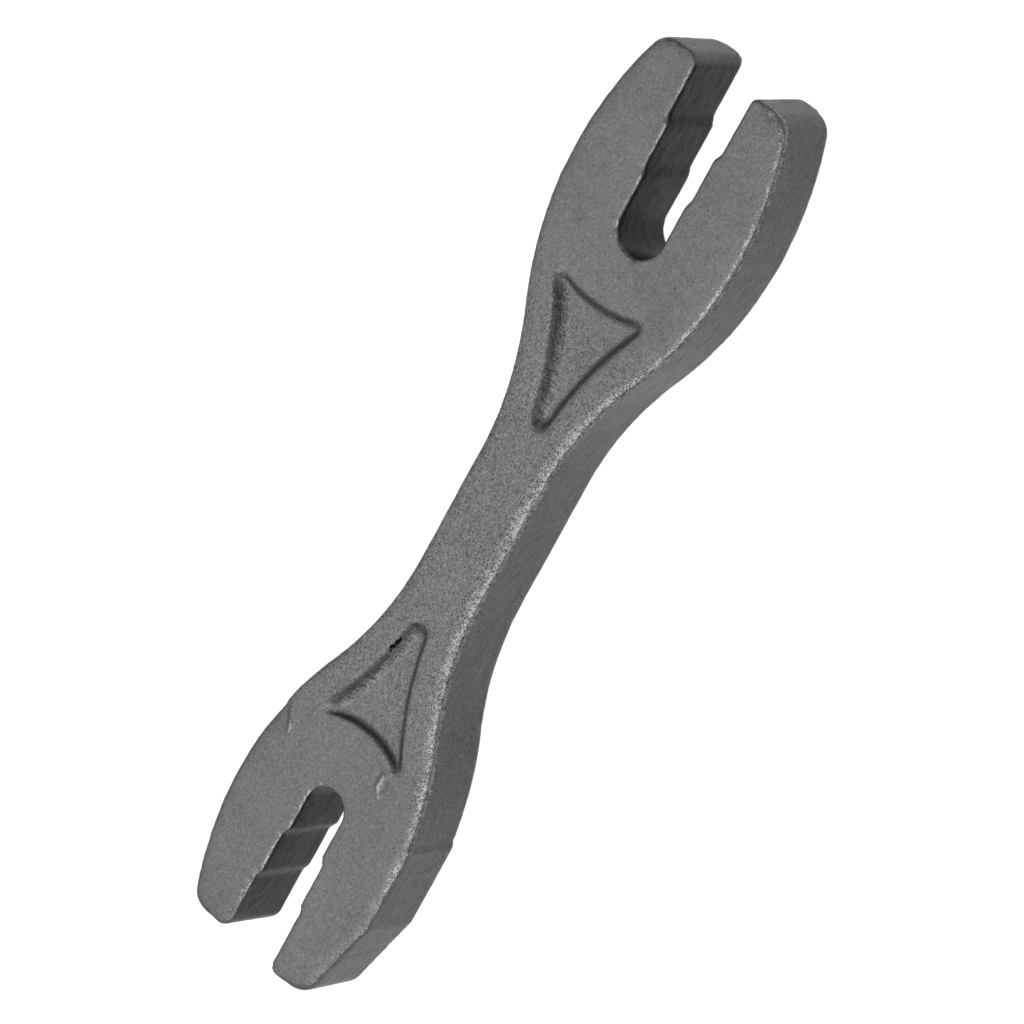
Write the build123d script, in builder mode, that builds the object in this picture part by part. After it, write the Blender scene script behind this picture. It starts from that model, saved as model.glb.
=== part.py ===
from build123d import *
from math import acos, asin, degrees, sqrt
import os

# Double-ended slotted wrench: one steel casting with a stepped jaw slot in each end.
# X runs along the wrench, towards the head with the wider slot, and Y runs across it.
# The back lies on Z = 0 and the face, with its two arrowhead hollows, is on top.
# The origin is under the middle of the wrench. Sizes are in millimetres.

os.makedirs("parts", exist_ok=True)

# Plate
overall_length = 105.4
plate_thickness = 9.3
waist_width = 8.4
neck_radius = 35.0  # hollow curve between the waist and a head
head_radius = 39.7  # full curve of a head's side
head_station = 38.0  # from the middle of the wrench to the widest place of a head
tip_radius = 2.6  # outer corner of a prong
mouth_radius = 0.8  # inner corner of a prong, beside the slot
edge_radius = 0.6  # where the face and the back meet the walls, slots included

# Slots, each in three steps that widen towards the mouth
first_step = 39.4  # from the middle of the wrench to the ramp out of the narrow step
second_step = 45.0  # and to the ramp out of the middle step
ramp_length = 0.9
ramp_radius = 0.5  # softens both ends of a ramp

# Arrowhead hollows, whose sides leave an even land beside the neck's curves
hollow_depth = 0.95
wall_slope = 42  # degrees that a hollow's wall leans outwards from upright
land_width = 4.4  # from the plate's edge to the hollow's floor
barb_station = 26.0  # from the middle of the wrench to the barbs of the floor
barb_radius = 0.2

# Each head: turn about Z, width, slot widths, bottom of the slot, then the radius of the
# point of its hollow's floor and the middle of that floor's tail
wide_jaw_head = (0, 22.2, (5.5, 6.2, 7.1), 32.0, 0.25, 25.3)
narrow_jaw_head = (180, 21.8, (4.6, 5.6, 6.4), 33.0, 0.45, 24.8)
both_heads = (wide_jaw_head, narrow_jaw_head)

half_length = overall_length / 2
neck_centre_y = waist_width / 2 + neck_radius


def side_rise(head_width):
    """How far a neck curve's centre lies from the head curve's centre, across the wrench."""
    head_centre_y = head_width / 2 - head_radius
    return neck_centre_y - head_centre_y


def neck_start(head_width):
    """Place along the wrench where the straight waist runs into a neck curve."""
    return head_station - sqrt((head_radius + neck_radius) ** 2 - side_rise(head_width) ** 2)


def plate_outline(head_width):
    """Half of the plate, from its middle to one end: waist, neck and head, all tangent."""
    neck_angle = degrees(acos(side_rise(head_width) / (head_radius + neck_radius)))
    end_angle = degrees(asin((half_length - head_station) / head_radius))
    with BuildSketch() as outline:
        with BuildLine():
            waist = Line((0, waist_width / 2), (neck_start(head_width), waist_width / 2))
            neck = JernArc(waist @ 1, (1, 0), neck_radius, neck_angle)
            side = JernArc(neck @ 1, neck % 1, head_radius, -neck_angle - end_angle)
            Polyline(side @ 1, (half_length, 0), (0, 0), waist @ 0)
        make_face()
        mirror(about=Plane.XZ)
        tips = outline.vertices().group_by(Axis.X)[-1].sort_by(Axis.Y)
        fillet([tips[0], tips[-1]], tip_radius)
    return outline.sketch


def slot_outline(widths, bottom):
    """A jaw slot: a round bottom, then three widths joined by short ramps."""
    narrow, middle, wide = [width / 2 for width in widths]
    past_mouth = half_length + 1
    with BuildSketch() as outline:
        with BuildLine():
            round_bottom = CenterArc((bottom + narrow, 0), narrow, 90, 90)
            Polyline(
                round_bottom @ 0,
                (first_step, narrow),
                (first_step + ramp_length, middle),
                (second_step, middle),
                (second_step + ramp_length, wide),
                (past_mouth, wide),
                (past_mouth, 0),
                round_bottom @ 1,
            )
        make_face()
        mirror(about=Plane.XZ)
        ramp_ends = outline.vertices().filter_by_position(
            Axis.X, first_step, second_step + ramp_length
        )
        fillet(ramp_ends, ramp_radius)
    return outline.sketch


def hollow_outline(head_width, point_radius, tail_station):
    """The floor of a hollow: a round point, two sides that follow the neck, a bowed tail."""
    start = neck_start(head_width)
    side_radius = neck_radius + land_width
    reach = side_radius + point_radius
    point_centre = start + sqrt(reach**2 - neck_centre_y**2)
    share = point_radius / reach
    touch_x = point_centre - (point_centre - start) * share
    touch_y = neck_centre_y * share
    barb_y = neck_centre_y - sqrt(side_radius**2 - (barb_station - start) ** 2)
    with BuildSketch() as outline:
        with BuildLine():
            ThreePointArc(
                (touch_x, -touch_y), (point_centre - point_radius, 0), (touch_x, touch_y)
            )
            side = RadiusArc((touch_x, touch_y), (barb_station, barb_y), -side_radius)
            mirror(side, about=Plane.XZ)
            ThreePointArc(
                (barb_station, barb_y), (tail_station, 0), (barb_station, -barb_y)
            )
        make_face()
        fillet(outline.vertices().group_by(Axis.X)[-1], barb_radius)
    return outline.sketch


with BuildPart() as wrench_body:
    for turn, head_width, slot_widths, slot_bottom, _, _ in both_heads:
        with BuildSketch(Plane.XY.rotated((0, 0, turn))) as head:
            add(plate_outline(head_width))
            add(slot_outline(slot_widths, slot_bottom), mode=Mode.SUBTRACT)
            tips = head.vertices().group_by(Axis.X)[-1].sort_by(Axis.Y)
            fillet(tips[1:-1], mouth_radius)
        extrude(amount=plate_thickness)

    fillet(wrench_body.faces().filter_by(Axis.Z).edges(), edge_radius)

    for turn, head_width, _, _, point_radius, tail_station in both_heads:
        floor_height = plate_thickness - hollow_depth
        with BuildSketch(Plane.XY.offset(floor_height).rotated((0, 0, turn))):
            add(hollow_outline(head_width, point_radius, tail_station))
        extrude(amount=hollow_depth, taper=-wall_slope, mode=Mode.SUBTRACT)

wrench_body.part.label = "wrench_body"
export_step(wrench_body.part, "parts/wrench_body.step")
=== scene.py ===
# %% [markdown]
# # A double-ended slotted wrench in shot-blasted steel
# The real tool is one casting: a flat plate with a narrow waist, a forked head at each end,
# a stepped slot in each fork and a shallow arrowhead hollow beside each slot.
# It is drawn here as an outline, pulled up into a plate, hollowed, rounded and then aged.

# %% Load the frame
import math

import bpy
import numpy as np
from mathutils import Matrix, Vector
from mathutils.kdtree import KDTree


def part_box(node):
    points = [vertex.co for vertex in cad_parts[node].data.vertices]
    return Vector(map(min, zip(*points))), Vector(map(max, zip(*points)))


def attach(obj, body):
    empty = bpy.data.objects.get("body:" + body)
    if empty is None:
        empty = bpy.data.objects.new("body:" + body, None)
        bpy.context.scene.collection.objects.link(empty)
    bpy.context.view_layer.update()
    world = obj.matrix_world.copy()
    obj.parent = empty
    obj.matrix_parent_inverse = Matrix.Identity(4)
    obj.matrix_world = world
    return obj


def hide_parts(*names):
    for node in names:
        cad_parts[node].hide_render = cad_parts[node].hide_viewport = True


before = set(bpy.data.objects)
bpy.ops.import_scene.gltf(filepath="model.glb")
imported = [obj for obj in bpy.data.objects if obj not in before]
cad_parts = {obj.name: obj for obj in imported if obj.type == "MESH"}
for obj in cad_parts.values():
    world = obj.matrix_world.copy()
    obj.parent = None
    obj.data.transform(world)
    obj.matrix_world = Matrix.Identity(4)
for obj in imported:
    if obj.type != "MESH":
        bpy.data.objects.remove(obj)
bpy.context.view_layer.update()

MM = 0.001
low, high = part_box("wrench_body")
thickness = high.z - low.z
half_length = high.x
print("plate thickness", round(thickness / MM, 2), "mm, half length", round(half_length / MM, 2), "mm")

# %% [markdown]
# ## A pen made of modelling tools
# Every edge of this wrench is a straight run or an arc, so its outline can be drawn the way a
# modeller does it by hand: one point is pulled along by Extrude for a straight run, and swung
# round a centre by Spin for an arc. Spin keeps neighbouring arcs truly tangent, which a freely
# placed curve would not.

# %% The pen
ARC_STEP = 0.35 * MM
MERGE_GAP = 0.002 * MM


class Pen:
    """Draws an outline by extruding and spinning the last point of a new mesh."""

    def __init__(self, name, x, y):
        bpy.ops.object.select_all(action="DESELECT")
        bpy.ops.mesh.primitive_plane_add(size=MM)
        bpy.context.object.name = name
        bpy.ops.object.mode_set(mode="EDIT")
        bpy.ops.mesh.select_mode(type="VERT")
        bpy.ops.mesh.merge(type="CENTER")
        bpy.ops.transform.translate(value=(x, y, 0))
        self.at = Vector((x, y))

    def line_to(self, x, y):
        run = Vector((x, y)) - self.at
        bpy.ops.mesh.extrude_vertices_move(TRANSFORM_OT_translate={"value": (*run, 0)})
        self.at = Vector((x, y))

    def swing(self, centre, end_angle, step=ARC_STEP, steps=None):
        """Spins the last point round a centre until it stands at end_angle, the short way."""
        arm = self.at - centre
        turn = end_angle - math.atan2(arm.y, arm.x)
        turn = (turn + math.pi) % math.tau - math.pi
        steps = steps or max(2, math.ceil(abs(turn) * arm.length / step))
        bpy.ops.mesh.spin(steps=steps, angle=-turn, center=(*centre, 0), axis=(0, 0, 1))
        self.at = centre + arm.length * Vector((math.cos(end_angle), math.sin(end_angle)))

    def finish(self, flip):
        """Mirrors the outline into its own quarter of the plate and leaves edit mode."""
        bpy.ops.mesh.select_all(action="SELECT")
        bpy.ops.transform.resize(value=(*flip, 1), center_override=(0, 0, 0))
        bpy.ops.object.mode_set(mode="OBJECT")
        return bpy.context.object


def angle_of(vector):
    return math.atan2(vector.y, vector.x)


def meet(centre_a, reach_a, centre_b, reach_b, side):
    """The point at those two distances from two centres, on one side of the line between them."""
    gap = centre_b - centre_a
    along = (gap.length_squared + reach_a**2 - reach_b**2) / (2 * gap.length)
    across = math.sqrt(reach_a**2 - along**2)
    unit = gap.normalized()
    return centre_a + unit * along + side * across * Vector((-unit.y, unit.x))


# %% [markdown]
# ## The plate's outline
# The four prongs were meant to be alike, but a casting that has been fettled by hand is not:
# each prong has its own length and fullness, and one has flats hammered onto it. A Mirror
# modifier would make the prongs equal, so each quarter of the plate is drawn with its own
# numbers, from the middle of the waist round to the bottom of the slot. Left is the +Y side
# and right the -Y side, as seen from the narrow slot.

# %% Sizes shared by all four prongs
neck_radius = 35.0 * MM
head_radius = 39.7 * MM
head_station = 38.0 * MM
first_step = 39.4 * MM
second_step = 45.0 * MM
ramp = 0.9 * MM


def neck_centre(half_waist, fullness, station=head_station):
    """Centre of the neck's curve between a waist and a head of those half widths."""
    neck_y = half_waist + neck_radius
    rise = neck_y - fullness + head_radius
    return Vector((station - math.sqrt((neck_radius + head_radius) ** 2 - rise**2), neck_y))


# %% Draw one quarter
def draw_prong(name, flip, half_waist, fullness, station, reach, tip, mouth, slot, bottom, facets=()):
    """Waist, neck, side of the head, tip of the prong and the stepped wall of the slot.

    fullness is the head's greatest half width and station the place along the tool where it is.
    tip and mouth are the radii of the prong's outer and inner corners, slot the half widths of
    the slot's three steps, and facets the corners of flats hammered onto the head's side.
    """
    neck = neck_centre(half_waist, fullness, station)
    head = Vector((station, fullness - head_radius))
    run = reach - tip - head.x
    corner = Vector((reach - tip, head.y + math.sqrt((head_radius - tip) ** 2 - run**2)))
    narrow, middle, wide = slot
    pen = Pen(name, 0, half_waist)
    pen.line_to(neck.x, half_waist)
    pen.swing(neck, angle_of(head - neck))
    if facets:
        pen.swing(head, angle_of(facets[0] - head))
        for spot in facets:
            pen.line_to(*spot)
        pen.line_to(*(corner + (corner - head).normalized() * tip))
    else:
        pen.swing(head, angle_of(corner - head))
    pen.swing(corner, 0)
    pen.line_to(reach, wide + mouth)
    pen.swing(Vector((reach - mouth, wide + mouth)), -math.pi / 2, step=0.12 * MM)
    pen.line_to(second_step + ramp, wide)
    pen.line_to(second_step, middle)
    pen.line_to(first_step + ramp, middle)
    pen.line_to(first_step, narrow)
    pen.line_to(bottom + narrow, narrow)
    pen.swing(Vector((bottom + narrow, 0)), math.pi, step=0.2 * MM)
    return pen.finish(flip)


# %% Draw all four quarters
left_waist = 4.3 * MM
right_waist = 4.2 * MM
narrow_fullness = 10.9 * MM
wide_slot = (2.75 * MM, 3.1 * MM, 3.55 * MM)
narrow_slot = (2.3 * MM, 2.8 * MM, 3.2 * MM)
wide_bottom = 32.0 * MM
narrow_bottom = 33.0 * MM
wide_head = {"station": head_station - 0.25 * MM, "slot": wide_slot, "bottom": wide_bottom}
narrow_head = {"station": head_station, "slot": narrow_slot, "bottom": narrow_bottom}
hammered = [Vector(spot) * MM for spot in ((32.7, 10.52), (33.1, 10.82), (42.7, 10.84))]
quarters = [
    draw_prong(
        "wide_left", (1, 1), left_waist, high.y + 0.24 * MM,
        reach=half_length, tip=2.6 * MM, mouth=1.3 * MM, **wide_head,
    ),
    draw_prong(
        "wide_right", (1, -1), right_waist, high.y,
        reach=half_length, tip=2.6 * MM, mouth=0.8 * MM, **wide_head,
    ),
    draw_prong(
        "narrow_left", (-1, 1), left_waist, 11.06 * MM,
        reach=half_length - 0.05 * MM, tip=2.4 * MM, mouth=1.5 * MM, **narrow_head,
    ),
    draw_prong(
        "narrow_right", (-1, -1), right_waist, narrow_fullness,
        reach=half_length + 0.3 * MM, tip=2.6 * MM, mouth=0.9 * MM, facets=hammered, **narrow_head,
    ),
]
for quarter in quarters:
    quarter.select_set(True)
bpy.ops.object.join()
casting = bpy.context.object
casting.name = casting.data.name = "wrench_casting"
print("outline points", len(casting.data.vertices))

# %% [markdown]
# ## From outline to plate
# The four quarters are merged, filled with one face and extruded to the plate's thickness.
# A solid block cut to shape with Booleans would give the same plate, but Extrude keeps the
# walls as clean upright strips, which round off well later. Bisect then divides the two big
# faces, because a face with so many corners can't be rounded or hollowed reliably.

# %% Fill and extrude
bpy.ops.object.mode_set(mode="EDIT")
bpy.ops.mesh.select_all(action="SELECT")
bpy.ops.mesh.remove_doubles(threshold=MERGE_GAP)
bpy.ops.mesh.edge_face_add()
bpy.ops.mesh.extrude_region_move(TRANSFORM_OT_translate={"value": (0, 0, thickness)})
bpy.ops.mesh.select_all(action="SELECT")
bpy.ops.mesh.normals_make_consistent(inside=False)
cuts = [(0, (0, 1, 0)), (0, (1, 0, 0))]
cuts += [(side * station * MM, (1, 0, 0)) for station in (20, 30) for side in (-1, 1)]
for station, across in cuts:
    bpy.ops.mesh.select_all(action="SELECT")
    bpy.ops.mesh.bisect(plane_co=(station, 0, 0), plane_no=across)
bpy.ops.object.mode_set(mode="OBJECT")
print("plate faces", len(casting.data.polygons))

# %% Helpers for selecting edges and applying modifiers
def select_edges(obj, wanted, sharp=0.0):
    """Selects, in edge mode, the edges at least that sharp whose two ends satisfy a test."""
    bpy.ops.object.mode_set(mode="EDIT")
    bpy.ops.mesh.select_mode(type="EDGE")
    bpy.ops.mesh.select_all(action="DESELECT")
    bpy.ops.mesh.edges_select_sharp(sharpness=math.radians(sharp))
    bpy.ops.object.mode_set(mode="OBJECT")
    corners = [v.co for v in obj.data.vertices]
    chosen = []
    for edge in obj.data.edges:
        a, b = (corners[i] for i in edge.vertices)
        chosen.append((edge.select or not sharp) and wanted(a, b))
    bpy.ops.object.mode_set(mode="EDIT")
    bpy.ops.mesh.select_all(action="DESELECT")
    bpy.ops.object.mode_set(mode="OBJECT")
    obj.data.edges.foreach_set("select", chosen)
    bpy.ops.object.mode_set(mode="EDIT")


def apply_modifier(obj, kind, **settings):
    """Adds one modifier, sets it up and applies it."""
    bpy.ops.object.mode_set(mode="OBJECT")
    modifier = obj.modifiers.new(kind.lower(), kind)
    for key, value in settings.items():
        setattr(modifier, key, value)
    bpy.ops.object.modifier_apply(modifier=modifier.name)


def on_rim(a, b):
    """An edge that lies level, unlike the upright corners of the walls."""
    return abs(a.z - b.z) < 0.001 * MM


# %% [markdown]
# ## The arrowhead hollows
# Each hollow was formed by a raised boss in the mould, so its walls lean outwards. It could be
# pressed in with an inset and a move, but its sides follow the neck's curves while its tail
# bows the other way. So its floor and its rim are drawn as two loops with the same number of
# points, bridged into a plug, and the plug is taken away with a Boolean. The bosses sat a
# little off in the mould: one hollow is twisted, both are shifted, and the floors lean to one
# side of their rims.

# %% Draw one loop of a hollow
def draw_hollow_loop(name, fullness, level, land, point, tail, bow, barb, turn, twist, shift):
    """A closed loop at one level: round point, two sides beside the neck, barbs and tail.

    land is the metal left beside the neck, point and barb are the radii of the corners, tail is
    the middle of the tail and bow its radius. turn is -1 for a hollow that points the other way.
    """
    neck = neck_centre(right_waist, fullness)
    side = neck_radius + land
    tip = Vector((neck.x + math.sqrt((side + point) ** 2 - neck.y**2), 0))
    tail_centre = Vector((tail + bow, 0))
    hook = meet(neck, side + barb, tail_centre, bow + barb, -1)
    pen = Pen(name, tip.x - point, 0)
    pen.swing(tip, angle_of(neck - tip), steps=8)
    pen.swing(neck, angle_of(hook - neck), steps=30)
    pen.swing(hook, angle_of(tail_centre - hook), steps=10)
    pen.swing(tail_centre, math.pi, steps=16)
    bpy.ops.mesh.select_all(action="SELECT")
    bpy.ops.mesh.duplicate()
    bpy.ops.transform.resize(value=(1, -1, 1), center_override=(0, 0, 0))
    bpy.ops.mesh.select_all(action="SELECT")
    bpy.ops.mesh.remove_doubles(threshold=MERGE_GAP)
    bpy.ops.transform.rotate(value=-twist, orient_axis="Z", center_override=(hollow_middle, 0, 0))
    bpy.ops.transform.translate(value=(*shift, level))
    return pen.finish((turn, turn))


# %% Turn two loops into a hollow
def carve_hollow(name, fullness, depth, floor, rim, turn, twist, shift):
    """Bridges the floor loop and the rim loop into a plug and takes it out of the casting."""
    lean = Vector((0, -turn * hollow_lean))
    floor |= {"turn": turn, "twist": twist, "shift": shift + lean}
    rim |= {"turn": turn, "twist": twist, "shift": shift}
    floor_loop = draw_hollow_loop(name, fullness, high.z - depth, **floor)
    draw_hollow_loop(name, fullness, high.z, **rim)
    floor_loop.select_set(True)
    bpy.ops.object.join()
    plug = bpy.context.object
    bpy.ops.object.mode_set(mode="EDIT")
    bpy.ops.mesh.select_all(action="SELECT")
    bpy.ops.mesh.bridge_edge_loops()
    bpy.ops.object.mode_set(mode="OBJECT")
    select_edges(plug, lambda a, b: on_rim(a, b) and a.z > high.z - depth / 2)
    bpy.ops.mesh.edge_face_add()
    bpy.ops.mesh.extrude_region_move(TRANSFORM_OT_translate={"value": (0, 0, depth)})
    bpy.ops.object.mode_set(mode="OBJECT")
    select_edges(plug, lambda a, b: on_rim(a, b) and a.z < high.z - depth / 2)
    bpy.ops.mesh.edge_face_add()
    bpy.ops.mesh.select_all(action="SELECT")
    bpy.ops.mesh.normals_make_consistent(inside=False)
    bpy.ops.object.mode_set(mode="OBJECT")
    bpy.ops.object.select_all(action="DESELECT")
    casting.select_set(True)
    bpy.context.view_layer.objects.active = casting
    apply_modifier(casting, "BOOLEAN", operation="DIFFERENCE", solver="EXACT", object=plug)
    print(name, "plug faces", len(plug.data.polygons), "casting faces", len(casting.data.polygons))
    bpy.data.objects.remove(plug)


# %% Carve both hollows
hollow_middle = 19.0 * MM
hollow_lean = 0.25 * MM
wide_depth = 0.95 * MM
narrow_depth = 0.85 * MM
wide_twist = math.radians(2.8)
wide_shift = Vector((0, 0.08 * MM))
narrow_shift = Vector((0.25, -0.36)) * MM
wide_floor = {
    "land": 4.4 * MM, "point": 0.3 * MM, "tail": 25.2 * MM, "bow": 16.0 * MM, "barb": 0.25 * MM,
}
wide_rim = {
    "land": 3.55 * MM, "point": 1.05 * MM, "tail": 26.0 * MM, "bow": 15.2 * MM, "barb": 0.8 * MM,
}
narrow_floor = {
    "land": 4.3 * MM, "point": 0.5 * MM, "tail": 25.05 * MM, "bow": 9.85 * MM, "barb": 0.2 * MM,
}
narrow_rim = {
    "land": 3.45 * MM, "point": 1.25 * MM, "tail": 25.25 * MM, "bow": 9.65 * MM, "barb": 0.4 * MM,
}
carve_hollow(
    "wide_hollow", high.y, wide_depth, wide_floor, wide_rim,
    turn=1, twist=wide_twist, shift=wide_shift,
)
carve_hollow(
    "narrow_hollow", narrow_fullness, narrow_depth, narrow_floor, narrow_rim,
    turn=-1, twist=0, shift=narrow_shift,
)

# %% [markdown]
# ## Rounded rims
# Every rim of the real casting is worn round. A Bevel modifier that reads an edge weight can
# round some rims more than others in one go: here the outside more than the slots.

# %% Which rim is which
slot_reach = 5.2 * MM
slot_start = 31.0 * MM
hollow_end = 28.0 * MM
hollow_land = 2.0 * MM
neck = neck_centre(right_waist, high.y)


def in_slot(point):
    return abs(point.x) > slot_start and abs(point.y) < slot_reach


def in_hollow(point):
    from_neck = Vector((abs(point.x), abs(point.y))) - neck
    return abs(point.x) < hollow_end and from_neck.length > neck_radius + hollow_land


def outside(point):
    return not in_slot(point) and not in_hollow(point)


# %% Weigh the rims and round them
rim_radius = 0.7 * MM
fold = 25.0


def weigh_rims(weight, wanted):
    """Gives one kind of rim its share of the full rounding."""
    select_edges(casting, lambda a, b: on_rim(a, b) and wanted(a) and wanted(b), fold)
    bpy.ops.transform.edge_bevelweight(value=weight)
    bpy.ops.object.mode_set(mode="OBJECT")
    print("edges selected", sum(edge.select for edge in casting.data.edges), "for weight", weight)


weigh_rims(weight=1.0, wanted=lambda p: outside(p) and p.z < high.z / 2)
weigh_rims(weight=0.6, wanted=lambda p: outside(p) and p.z > high.z / 2)
weigh_rims(weight=0.3, wanted=in_slot)
weigh_rims(weight=0.6, wanted=lambda p: in_hollow(p) and p.x > 0)
weigh_rims(weight=0.25, wanted=lambda p: in_hollow(p) and p.x < 0)
rounding = {"width": rim_radius, "segments": 4, "use_clamp_overlap": False}
apply_modifier(casting, "BEVEL", limit_method="WEIGHT", **rounding)
print("faces after rounding", len(casting.data.polygons))

# %% [markdown]
# ## One even skin
# Bevels and Booleans leave long thin faces that can't be dented. A voxel Remesh turns the
# casting into small even squares, and a light Smooth takes the voxel steps out of the curved
# walls. It also softens every inner corner a little, as molten metal and blasting do.

# %% Remesh
skin_size = 0.27 * MM
apply_modifier(casting, "REMESH", mode="VOXEL", voxel_size=skin_size)
apply_modifier(casting, "SMOOTH", factor=0.5, iterations=3)
print("skin faces", len(casting.data.polygons))

# %% [markdown]
# ## Cast waviness
# A sand-cast face is never truly flat: it rolls a little over several millimetres and has an
# orange-peel texture over one or two. Two Displace modifiers with cloud textures give both as
# real shape, so highlights break up the same way from every side. A third works only on the
# left walls of the hollows, which came out of the mould torn and rough.

# %% Ripple the skin
def ripple(obj, name, size, detail, height, only=""):
    """Pushes the skin in and out along its normals by a cloud pattern."""
    clouds = bpy.data.textures.new(name, type="CLOUDS")
    clouds.noise_scale = size
    clouds.noise_depth = detail
    settings = {"texture": clouds, "texture_coords": "LOCAL", "mid_level": 0.5, "strength": height}
    apply_modifier(obj, "DISPLACE", **settings, vertex_group=only)


# %% Find the torn walls and ripple everything
torn_group = casting.vertex_groups.new(name="torn_walls")
wall_top = high.z - 0.05 * MM
wall_foot = high.z - wide_depth - 0.1 * MM
wall_tilt = 0.25
torn = [
    v.index for v in casting.data.vertices
    if v.co.y > 0 and in_hollow(v.co) and wall_foot < v.co.z < wall_top and v.normal.y < -wall_tilt
]
torn_group.add(torn, 1.0, "REPLACE")
ripple(casting, "casting_waves", size=6.0 * MM, detail=1, height=0.09 * MM)
ripple(casting, "orange_peel", size=1.1 * MM, detail=2, height=0.07 * MM)
ripple(casting, "tearing", size=0.5 * MM, detail=2, height=0.14 * MM, only="torn_walls")
print("torn points", len(torn))

# %% [markdown]
# ## Marks of use and of the mould
# The marks are one of a kind, so they are pushed into the skin point by point, as a sculpting
# brush does: each has a place in millimetres, a reach and a depth. The points are moved as one
# table of numbers and written back to the mesh at the end, which is much quicker than moving
# them one by one. The outer walls also get the slight draft that lets a pattern leave the
# sand, so the back is narrower than the face. No ripple is left standing out of the back, so
# the tool lies flat.

# %% Brushes
def read_points(obj, what="co"):
    values = np.empty(len(obj.data.vertices) * 3)
    obj.data.vertices.foreach_get(what, values)
    return values.reshape(-1, 3)


def smooth_step(values, start, end):
    part = np.clip((values - start) / (end - start), 0, 1)
    return part * part * (3 - 2 * part)


def strength_along(start, end, reach):
    """1 on the line between two spots given in millimetres, and 0 from that reach outwards."""
    start, end = np.array(start) * MM, np.array(end) * MM
    line = end - start
    share = np.clip((points - start) @ line / max(line @ line, 1e-12), 0, 1)
    away = np.linalg.norm(points - start - share[:, None] * line, axis=1)
    return 1 - smooth_step(away, 0, reach * MM)


def press(start, end, reach, depth):
    """Pushes the skin in along a short line, or out if the depth is negative."""
    points[:] -= normals * (strength_along(start, end, reach) * depth * MM)[:, None]


points = read_points(casting)
normals = read_points(casting, "normal")
face = high.z / MM
print("points to brush", len(points))

# %% Draft of the outer walls
head_draft = 0.18
less_at_waist = 0.1
at_waist = 1 - smooth_step(abs(points[:, 0]), 8 * MM, 18 * MM)
draft = (head_draft - less_at_waist * at_waist) * MM
outer = smooth_step(abs(points[:, 1]), 3.6 * MM, 4.2 * MM)
points[:, 1] -= np.sign(points[:, 1]) * outer * draft * (1 - points[:, 2] / high.z)
points[:, 2] = np.maximum(points[:, 2], low.z)
print("widest draft", round(draft.max() / MM, 2), "mm")

# %% Rims rolled over by handling
def distance_to_walls():
    """How far each point is, seen from above, from the middle of the nearest outer wall."""
    halfway = np.abs(points[:, 2] - high.z / 2) < 0.2 * MM
    spots = [p for p in points[halfway] if not in_slot(Vector(p))]
    tree = KDTree(len(spots))
    for index, spot in enumerate(spots):
        tree.insert((spot[0], spot[1], 0), index)
    tree.balance()
    return np.array([tree.find((x, y, 0))[2] for x, y in points[:, :2]])


roll_reach = 1.6 * MM
roll_depth = 0.2 * MM
from_wall = distance_to_walls()
rolled = np.clip(1 - from_wall / roll_reach, 0, 1) ** 2
points[:, 2] -= roll_depth * rolled * smooth_step(points[:, 2], high.z / 2, high.z)
print("rolled points", int((rolled > 0).sum()))

# %% Where handling has brightened the rims, with a painted highlight that is stronger on the -Y side
station = points[:, 0] / MM
handled = smooth_step(station, -37, -27) * (1 - smooth_step(station, 12, 25))
rim_wear_and_highlight = smooth_step(points[:, 2], high.z - 1.2 * MM, high.z - 0.6 * MM)
rim_wear_and_highlight *= 1 - smooth_step(from_wall, (0.3 + 0.6 * handled) * MM, (1.0 + 1.1 * handled) * MM)
unhandled = 0.35 + 0.45 * smooth_step(station, -10, 10)
less_on_left = 0.45
rim_wear_and_highlight *= unhandled + (1 - unhandled) * handled
# the +Y side gets less, so the band is partly a painted highlight where the -Y light falls
rim_wear_and_highlight *= 1 - less_on_left * smooth_step(points[:, 1], -1 * MM, 1 * MM)
print("rim points", int((rim_wear_and_highlight > 0.5).sum()))

# %% A barb that fades into the face and a pit, on the narrow-slot head
fading = strength_along((-27.9, 6.0, face), (-27.5, 6.4, face), reach=4.6)
on_face = smooth_step(points[:, 2], high.z - 1.3 * MM, high.z - 1.0 * MM)
points[:, 2] += fading * on_face * np.clip(high.z - points[:, 2], 0, None)
pit = (-15.3, 1.8, face - 0.1), (-16.8, 2.1, face - 0.2)
press(*pit, reach=0.5, depth=0.15)
print("points of the faded barb", int((fading > 0.5).sum()))

# %% A burr with a dip on each side of it
burr = [(-27.4, -4.8, face), (-28.2, -4.15, face), (-29.5, -4.1, face), (-30.3, -4.75, face)]
for start, end, depth in zip(burr, burr[1:], (-0.12, -0.18, -0.12)):
    press(start, end, reach=0.42, depth=depth)
press((-28.7, -4.8, face), (-29.5, -4.75, face), reach=0.5, depth=0.16)
press((-28.1, -3.6, face), (-29.6, -3.5, face), reach=0.45, depth=0.12)
print("highest point", round(points[:, 2].max() / MM, 3), "mm")

# %% A flake lapped over a crease
crease_start = np.array((-27.9, 9.1)) * MM
crease_end = np.array((-31.2, 7.6)) * MM
crease_drop = 0.3
length = np.linalg.norm(crease_end - crease_start)
crease = (crease_end - crease_start) / length
from_start = points[:, :2] - crease_start
along = from_start @ crease
beside = from_start @ np.array((crease[1], -crease[0]))
window = smooth_step(along, 0, 0.8 * MM) * (1 - smooth_step(along, 0.35 * length, 1.15 * length))
upper = smooth_step(points[:, 2], high.z - 1.5 * MM, high.z - 0.7 * MM)
points[:, 2] -= window * upper * crease_drop * smooth_step(beside, 0, 0.6 * MM) * MM
press((-28.9, 8.5, face), (-30.8, 7.75, face), reach=0.4, depth=-0.12)
print("crease length", round(length / MM, 2), "mm")
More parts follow.
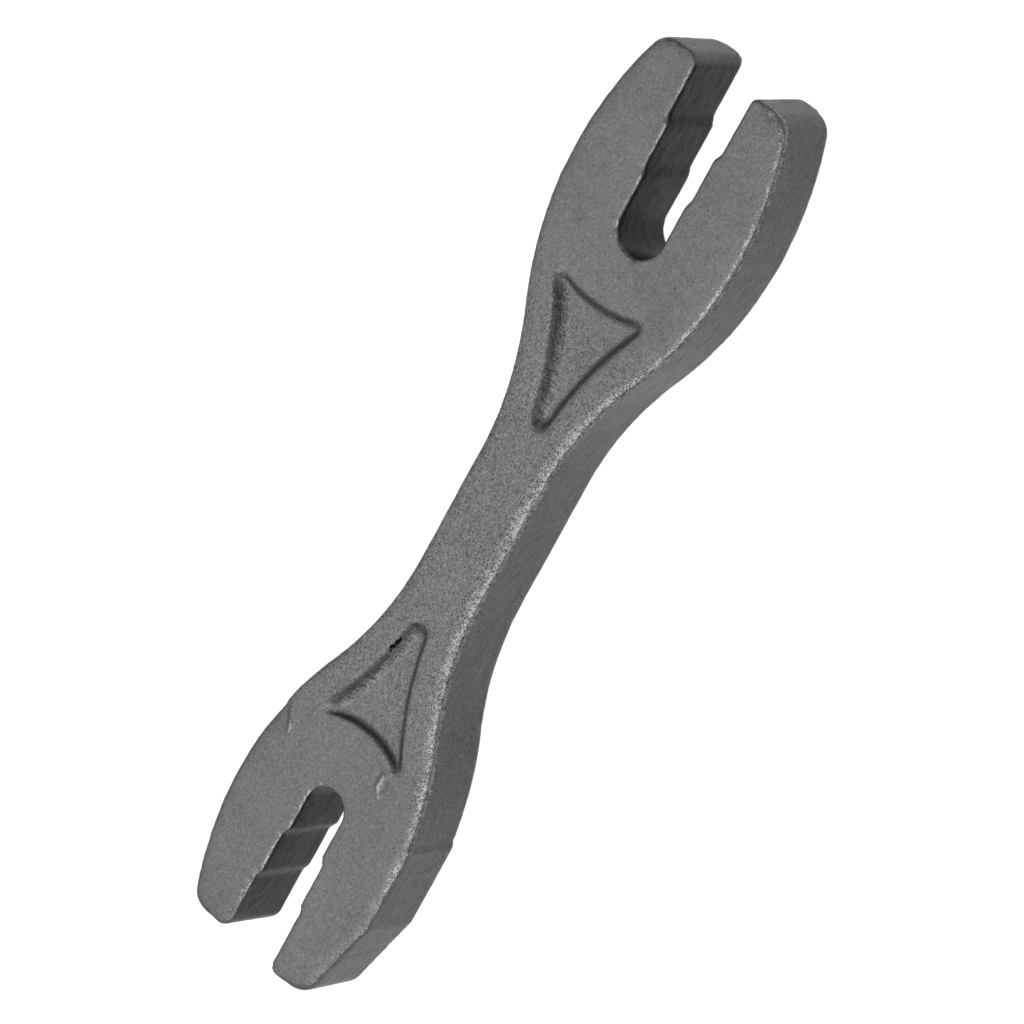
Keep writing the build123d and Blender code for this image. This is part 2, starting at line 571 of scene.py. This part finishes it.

# %% [markdown]
# ## Bright flecks
# Sharp rims lose their grey skin first, so bare metal shows in flecks along the slots, the burr,
# the flake and one side of a hollow, and the same lines are painted highlights where the -Y
# light catches those rims and slopes. A chip is a fleck with a small dent. Painting them in a
# texture would need an unwrapped mesh, so each point keeps one number, its brightness.

# %% Lines of flecks and painted highlights
# the burr's bright streak is a painted highlight
flecks_and_highlights = strength_along((-28.4, -4.15, face + 0.2), (-29.6, -4.15, face + 0.2), reach=0.5)
slot_rim = [(-32.8, 1.4), (-34.2, 2.5), (-39.4, 2.7), (-45.0, 3.2), (-51.0, 3.8)]
wide_slot_rim = [(31.8, 0.0), (33.0, 2.4), (39.4, 2.9), (45.0, 3.3), (51.0, 3.75)]
hollow_rim = [(25.0, 5.5), (21.7, 4.5), (17.9, 3.0), (13.6, 1.8)]
flake = [(-29.7, 8.2), (-30.9, 7.7)]
for start, end in zip(burr, burr[1:]):
    flecks_and_highlights = np.maximum(flecks_and_highlights, 0.7 * strength_along(start, end, reach=0.4))
# these lines are partly bare metal and partly painted highlights on rims and slopes facing the -Y
# light
for path, share in ((hollow_rim, 0.6), (slot_rim, 0.6), (wide_slot_rim, 0.6), (flake, 1.0)):
    for start, end in zip(path, path[1:]):
        glint = strength_along((*start, face), (*end, face), reach=0.4)
        flecks_and_highlights = np.maximum(flecks_and_highlights, share * glint)
print("points in fleck lines", int((flecks_and_highlights > 0.3).sum()))


# %% Chips along the rims
def chip(x, y, length):
    """A shallow bright chip along a rim of the face."""
    spot = (x, y, face), (x + length, y, face)
    press(*spot, reach=0.6, depth=0.12)
    flecks_and_highlights[:] = np.maximum(flecks_and_highlights, strength_along(*spot, reach=0.5))


# along the narrow slot
for x, y in ((-36.9, 2.9), (-40.2, 3.2), (-45.1, 3.3), (-46.6, 3.6), (-48.0, 3.7), (-50.4, 3.9)):
    chip(x, y, length=-0.3)
# along the outside of the hammered prong
outer_chips = ((-34.4, -10.2, -2.4), (-37.6, -10.4, -0.5), (-39.3, -10.3, -1.0), (-42.6, -10.3, -0.8))
for x, y, run in outer_chips:
    chip(x, y - 0.1, run)
# two dents down the hammered prong's wall and one on the rim of the waist
press((-32.7, -10.6, face - 1), (-32.8, -10.6, 1), reach=0.5, depth=0.08)
press((-46.8, -9.8, face), (-46.3, -9.9, 0), reach=0.5, depth=0.06)
press((-0.1, -4.0, face), (-0.6, -4.0, face), reach=0.8, depth=0.18)
# along the wide slot, and one at the tip of a prong
for x, y in ((32.0, -0.7), (33.4, 2.7), (39.8, 3.1), (45.6, 3.5), (52.0, -6.2)):
    chip(x, y, length=0.3)
print("bright points", int((flecks_and_highlights > 0.3).sum()))

# %% Put the brushed points back
casting.data.vertices.foreach_set("co", points.ravel())
casting.data.update()
print("size mm", [round(c / MM, 2) for c in casting.dimensions])

# %% [markdown]
# ## Where the skin stands out and where it sinks
# Wear polishes what stands out, and what lies low is painted darker, partly as dirt and partly as
# shade. A heavily smoothed copy of the casting shows which is which: a point outside the copy is
# an edge, and one inside it is a corner. The measure is kept on the points as attributes that the
# finish reads. The walls inside the slots get the least light, so a painted shade for them is
# kept too, and so are the grain's strength, a painted shade on upright walls, painted highlights
# along the rims and the places of the marks.

# %% Measure the relief
def relief(obj, rounds):
    """How far each point stands out of, or lies below, its smoothed surroundings."""
    smoothed = obj.copy()
    smoothed.data = obj.data.copy()
    bpy.context.collection.objects.link(smoothed)
    bpy.ops.object.select_all(action="DESELECT")
    bpy.context.view_layer.objects.active = smoothed
    apply_modifier(smoothed, "SMOOTH", factor=0.5, iterations=rounds)
    height = ((read_points(obj) - read_points(smoothed)) * read_points(obj, "normal")).sum(axis=1)
    bpy.data.objects.remove(smoothed)
    bpy.context.view_layer.objects.active = obj
    return height


def keep_on_points(obj, name, values):
    """Stores one number on every point, under a name that a finish can read."""
    obj.data.attributes.new(name, "FLOAT", "POINT").data.foreach_set("value", values)
    print(name, "from", round(float(values.min()), 3), "to", round(float(values.max()), 3))


# %% Keep what stands out and what sinks
relief_unit = 0.1 * MM
edge_relief = relief(casting, rounds=12) / relief_unit
keep_on_points(casting, "worn", np.clip(edge_relief, 0, 2))
keep_on_points(casting, "sunk", np.clip(-edge_relief, 0, 2))

# %% Keep the painted shade in the slots
points = read_points(casting)
mouth_depth = 0.8 * MM
slot_reaches = np.where(points[:, 0] > 0, wide_slot[2], narrow_slot[2]) + mouth_depth
past_bottom = np.abs(points[:, 0]) - np.where(points[:, 0] > 0, wide_bottom, narrow_bottom)
sideways = 1 - np.abs(read_points(casting, "normal")[:, 2])
# the walls deep in the slots get a painted shade
painted_slot_shade = smooth_step(past_bottom, -0.6 * MM, 0) * smooth_step(sideways, 0.35, 0.8)
painted_slot_shade *= np.abs(points[:, 1]) < slot_reaches
painted_slot_shade *= 1 - smooth_step(points[:, 2], high.z - 0.6 * MM, high.z - 0.2 * MM)
painted_slot_shade *= 1 - smooth_step(np.abs(points[:, 0]), half_length - 1.2 * MM, half_length - 0.4 * MM)
keep_on_points(casting, "painted_slot_shade", painted_slot_shade)

# %% Keep the grain's strength, the painted shade on upright walls and the marks
upright = smooth_step(sideways, 0.5, 0.95)
coarse = 1 - smooth_step(np.abs(points[:, 0]), 20 * MM, 33 * MM)
coarse = np.maximum(coarse, 0.2 * (points[:, 0] < 0))
near_face = smooth_step(points[:, 2], high.z - 0.6 * MM, high.z - 0.3 * MM)
torn_share = np.zeros(len(points))
torn_share[torn] = 1 - smooth_step(fading[torn], 0.25, 0.75)
keep_on_points(casting, "upright", upright)
keep_on_points(casting, "coarse", coarse * (1 - 0.8 * upright))
keep_on_points(casting, "rim", rim_wear_and_highlight)
keep_on_points(casting, "torn", torn_share)
keep_on_points(casting, "fleck_and_highlight", flecks_and_highlights)
keep_on_points(casting, "lip", torn_share * near_face)
keep_on_points(casting, "soot", strength_along(*pit, reach=0.55))
casting.data.shade_smooth()

# %% [markdown]
# ## Sums on sockets
# A finish is mostly arithmetic on patterns. A small class wraps a socket so that a sum can be
# written as it is read, and each sum adds its Math node behind the scenes.

# %% Wires
class Wire:
    """A node's output that can stand in a sum with other wires and with plain numbers."""

    def __init__(self, finish, socket):
        self.finish = finish
        self.socket = socket

    def sum(self, operation, first, second=0.0):
        return self.finish.node("ShaderNodeMath", {"operation": operation}, {0: first, 1: second})

    def __add__(self, other):
        return self.sum("ADD", self, other)

    def __sub__(self, other):
        return self.sum("SUBTRACT", self, other)

    def __rsub__(self, other):
        return self.sum("SUBTRACT", other, self)

    def __mul__(self, other):
        return self.sum("MULTIPLY", self, other)

    __radd__ = __add__
    __rmul__ = __mul__

    def size(self):
        return self.sum("ABSOLUTE", self)

    def at_least(self, floor_value):
        return self.sum("MAXIMUM", self, floor_value)

    def step(self, start, end):
        """0 below start, 1 above end, and a soft rise between."""
        settings = {"interpolation_type": "SMOOTHSTEP"}
        return self.finish.node("ShaderNodeMapRange", settings, {0: self, 1: start, 2: end}, "Result")


# %% Finishes
class Finish:
    """A material under construction."""

    def __init__(self, name):
        self.material = bpy.data.materials.new(name)
        self.material.use_nodes = True
        self.tree = self.material.node_tree
        self.tree.nodes.clear()

    def node(self, kind, settings, sockets, output=0):
        """Adds a node, sets it up, fills or links its inputs and hands back one output."""
        node = self.tree.nodes.new(kind)
        for key, value in settings.items():
            setattr(node, key, value)
        for key, value in sockets.items():
            if isinstance(value, Wire):
                self.tree.links.new(value.socket, node.inputs[key])
            else:
                node.inputs[key].default_value = value
        return Wire(self, node.outputs[output]) if node.outputs else None

    def place(self):
        """The place on the piece, in millimetres."""
        spot = self.node("ShaderNodeTexCoord", {}, {}, "Object")
        return self.node("ShaderNodeVectorMath", {"operation": "SCALE"}, {0: spot, "Scale": 1 / MM})

    def cloud(self, place, size, detail, rough=0.5):
        """A soft random pattern around 0.5 with features of that size in millimetres."""
        sockets = {"Vector": place, "Scale": 1 / size, "Detail": detail, "Roughness": rough}
        return self.node("ShaderNodeTexNoise", {}, sockets, "Fac")

    def on_points(self, name):
        return self.node("ShaderNodeAttribute", {"attribute_name": name}, {}, "Fac")

    def blend(self, mask, under, over):
        """One colour laid over another where the mask is 1."""
        return self.node("ShaderNodeMix", {"data_type": "RGBA"}, {0: mask, 6: under, 7: over}, 2)

    def shade(self, shader):
        self.node("ShaderNodeOutputMaterial", {}, {"Surface": shader})
        return self.material


# %% [markdown]
# ## Shot-blasted steel
# Blasting leaves thousands of tiny overlapping dents, so the steel is dull and even, a little
# lighter where edges are rubbed and darker in pits and corners. Noise at five sizes stands for
# the dents, in millimetres, and the measures kept on the points say where the surface is
# rubbed, dirty, torn, upright or inside a slot. The colour also holds painted shade on upright
# walls, in low places and in the slots, and painted highlights along the rims and slopes that
# the -Y light catches. The waist was struck harder, so its grain is livelier.

# %% Patterns in the steel
steel = Finish("blasted_steel")
place = steel.place()
dust = steel.cloud(place, 0.14, 1)
grit = steel.cloud(place, 0.22, 1)
grain = steel.cloud(place, 0.5, 2, 0.6)
peel = steel.cloud(place, 1.4, 2)
drift = steel.cloud(place, 8.0, 2)
creases = (1 - (steel.cloud(place, 0.45, 1) - 0.5).size() * 6).at_least(0)
across = steel.node("ShaderNodeVectorMath", {"operation": "MULTIPLY"}, {0: place, 1: (1, 0.2, 0.2)})
streaks = steel.cloud(across, 0.35, 2, 0.6)

# %% Measures kept on the points
worn = steel.on_points("worn")
sunk = steel.on_points("sunk")
painted_slot_shade = steel.on_points("painted_slot_shade")
upright = steel.on_points("upright")
coarse = steel.on_points("coarse")
rim = steel.on_points("rim")
torn_walls = steel.on_points("torn")
lip = steel.on_points("lip")
soot = steel.on_points("soot")
fleck_and_highlight = steel.on_points("fleck_and_highlight")

# %% How light the bare steel is
steel_colour = (0.112, 0.113, 0.117)
lively = coarse + rim * 0.6
tone = 1 + (grit - 0.5) * 0.9 + (dust - 0.5) * lively * 1.9 + (creases - 0.35) * lively * 0.25
# upright walls are painted darker here, as shade
tone = tone + (grain - 0.5) * 0.4 + (drift - 0.5) * 0.25 - upright * 0.36
tone = tone + torn_walls * ((streaks - 0.5) * 1.3 - 0.24)
channels = {i: tone * share for i, share in enumerate(steel_colour)}
shine = steel.node("ShaderNodeCombineColor", {}, channels)

# %% Rubbed places with painted highlights, dirt with painted shade, painted slot shade and soot over it
rubbed_and_highlight_colour = (0.21, 0.21, 0.215, 1)
dirt_and_shade_colour = (0.04, 0.04, 0.042, 1)
slot_shade_colour = (0.017, 0.017, 0.02, 1)
soot_colour = (0.004, 0.004, 0.004, 1)
patchy = (peel - 0.5) * 1.2 + (grain - 0.5) * 2.0 + (grit - 0.5) * 1.2 + 0.85
# rubbed edges are real wear; the rim and fleck shares also add painted highlights
rubbed_and_highlight = ((worn * 0.75 + rim + fleck_and_highlight * 1.5) * patchy + (dust - 0.5) * 1.4 + 0.15).step(0.95, 1.4)
sparks = (grit + grain * 0.5).step(0.95, 1.05)
# low places are painted darker, partly as dirt and partly as shade
dirt_and_shade = sunk.step(0.3, 1.4) * (1 - torn_walls * 0.7)
sooty = (soot + (grain - 0.5) * 2.2).step(0.45, 0.7)
shine = steel.blend(rubbed_and_highlight * 0.7 + sparks * 0.3, shine, rubbed_and_highlight_colour)
# lip darkens the top of the torn hollow walls into a dark line along their rim
shine = steel.blend(dirt_and_shade * 0.4 + lip * 0.75, shine, dirt_and_shade_colour)
# the slot walls are painted nearly black, as shade
shine = steel.blend(painted_slot_shade, shine, slot_shade_colour)
shine = steel.blend(sooty, shine, soot_colour)

# %% Dents too fine for the mesh, and the finished steel
dent_depth = 0.06 * MM
height = dust * (0.15 + lively * 0.3) + grit * 0.5 + grain * 0.8 + peel * 0.5 + creases * lively * 0.2
height = height + torn_walls * streaks * 0.4
bump_sockets = {"Strength": 1.0, "Distance": dent_depth, "Height": height}
surface = {
    "Base Color": shine,
    "Metallic": 1.0,
    "Roughness": 0.46 + (peel - 0.5) * 0.15 - rubbed_and_highlight * 0.1,
    "Normal": steel.node("ShaderNodeBump", {}, bump_sockets),
}
casting.data.materials.clear()
casting.data.materials.append(steel.shade(steel.node("ShaderNodeBsdfPrincipled", {}, surface)))
print("nodes in the steel", len(steel.tree.nodes))

# %% [markdown]
# ## Tie the casting to the frame
# The finished casting stands for the plain CAD solid, which is hidden but stays for contact.

# %% Piece and frame
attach(casting, "root")
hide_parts("wrench_body")
casting.data.calc_loop_triangles()
print("triangles", len(casting.data.loop_triangles))

# %% [markdown]
# ## Floor, light and camera
# The tool lies on its back on a plain pale sheet, which glows so that it stays white right up
# to the tool. One big soft light hangs where the flat face mirrors it, and a second, brighter
# one hangs over the -Y side and draws a bright line along the rims there.

# %% Floor
floor_size = 3.0
bpy.ops.object.select_all(action="DESELECT")
bpy.ops.mesh.primitive_plane_add(size=floor_size)
floor = bpy.context.object
floor.name = "floor"
paper = Finish("pale_paper")
paper_sockets = {"Base Color": (0.18, 0.18, 0.18, 1), "Roughness": 0.9}
paper_sockets |= {"Emission Color": (1, 1, 1, 1), "Emission Strength": 0.95}
floor.data.materials.append(paper.shade(paper.node("ShaderNodeBsdfPrincipled", {}, paper_sockets)))
print("floor", floor_size, "m wide")

# %% Light
room_light = 0.45
world = bpy.data.worlds.new("studio")
world.use_nodes = True
room = world.node_tree.nodes["Background"]
room.inputs["Color"].default_value = (1, 1, 1, 1)
room.inputs["Strength"].default_value = room_light
bpy.context.scene.world = world


def soft_light(name, direction, distance, size, radiance):
    """A square soft box that faces the tool, with the brightness its surface shows."""
    data = bpy.data.lights.new(name, "AREA")
    data.shape = "SQUARE"
    data.size = size
    data.energy = radiance * math.pi * size**2
    light = bpy.data.objects.new(name, data)
    light.location = Vector(direction).normalized() * distance
    light.rotation_euler = Vector(direction).to_track_quat("Z", "Y").to_euler()
    bpy.context.collection.objects.link(light)
    print(name, round(data.energy, 2), "W")


soft_light("top_light", direction=(-0.33, 0.42, 0.85), distance=0.7, size=0.9, radiance=1.4)
soft_light("side_light", direction=(-0.33, -0.43, 0.84), distance=0.8, size=0.6, radiance=3.6)

# %% Camera
film_width = 36
focal_length = 243.974
camera_place = (228.630, -291.113, 596.891)
camera_turn = (-2.9339, 31.8253, -57.5425)
camera_data = bpy.data.cameras.new("camera")
camera_data.sensor_width = film_width
camera_data.lens = focal_length
camera = bpy.data.objects.new("camera", camera_data)
camera.location = Vector(camera_place) * MM
camera.rotation_euler = [math.radians(angle) for angle in camera_turn]
bpy.context.collection.objects.link(camera)
bpy.context.scene.camera = camera
bpy.context.scene.view_settings.view_transform = "Standard"
print("camera", round(camera.location.length, 3), "m from the tool")
